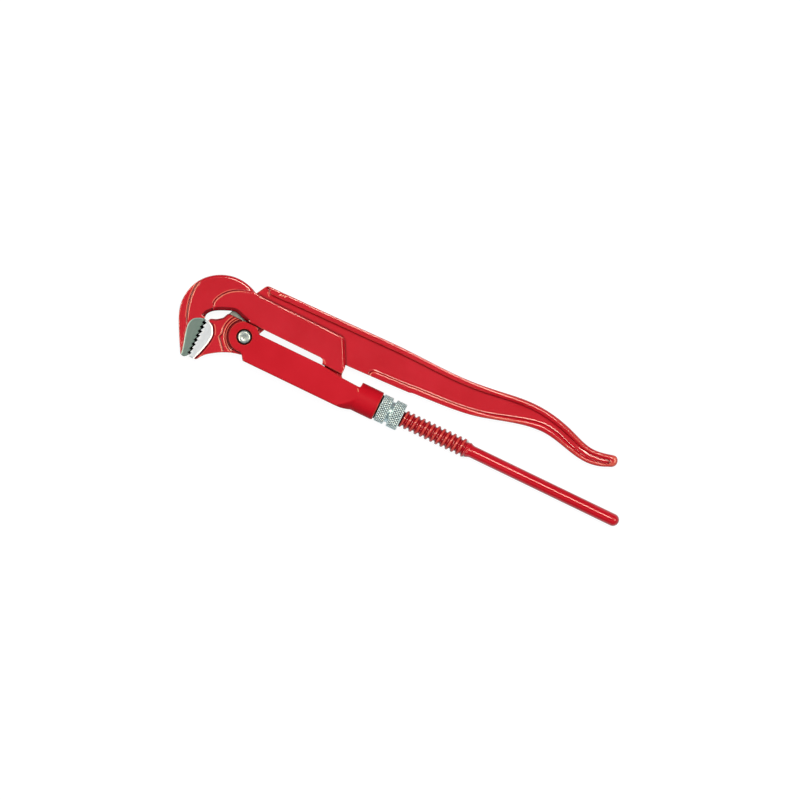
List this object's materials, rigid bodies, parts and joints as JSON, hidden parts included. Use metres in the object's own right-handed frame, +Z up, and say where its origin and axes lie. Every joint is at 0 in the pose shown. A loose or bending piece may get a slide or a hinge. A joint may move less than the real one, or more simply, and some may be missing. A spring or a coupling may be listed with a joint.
{
  "type": "pipe wrench",
  "caption": "Long pipe wrench with a hook jaw, a pivoting toothed lower jaw on a curved lever handle, and a threaded rod handle with a knurled adjusting nut.",
  "frame": {"origin": "middle of the wrench's outline, on the surface it lies on", "axes": "+X along the spindle towards the end of its rod, +Y from the spindle towards the lever handle, +Z up through the thickness"},
  "size_m": [0.4252, 0.0954, 0.026],
  "materials": {
    "red_enamel": "glossy red enamel on forged steel",
    "zinc_steel": "zinc plated, knurled",
    "bright_steel": "ground bare steel",
    "black_steel": "blackened spring steel"
  },
  "bodies": {
    "housing_body": {"housing": "red_enamel", "pivot_pin": "bright_steel", "thrust_washer": "black_steel"},
    "hook_body": {"hook_jaw": "red_enamel", "spindle": "red_enamel", "head_pin": "bright_steel", "stop_pin": "bright_steel"},
    "nut_body": {"adjusting_nut": "zinc_steel"},
    "lever_body": {"lever": "red_enamel"}
  },
  "joints": [
    {"name": "nut_turn", "type": "hinge", "parent": "housing_body", "child": "nut_body", "pos_m": [-0.00791, -0.01345, 0.013], "axis": [1, 0, 0], "range_deg": [-4141, 0]},
    {"name": "jaw_slide", "type": "slide", "parent": "housing_body", "child": "hook_body", "axis": [1, 0, 0], "range_m": [-0.0575, 0]},
    {"name": "lever_swing", "type": "hinge", "parent": "housing_body", "child": "lever_body", "pos_m": [-0.14991, -0.00965, 0.013], "axis": [0, 0, 1], "range_deg": [0, 10]}
  ],
  "couplings": [
    {"joint": "nut_turn", "follows": "jaw_slide", "rad_per_m": 1256.6}
  ]
}
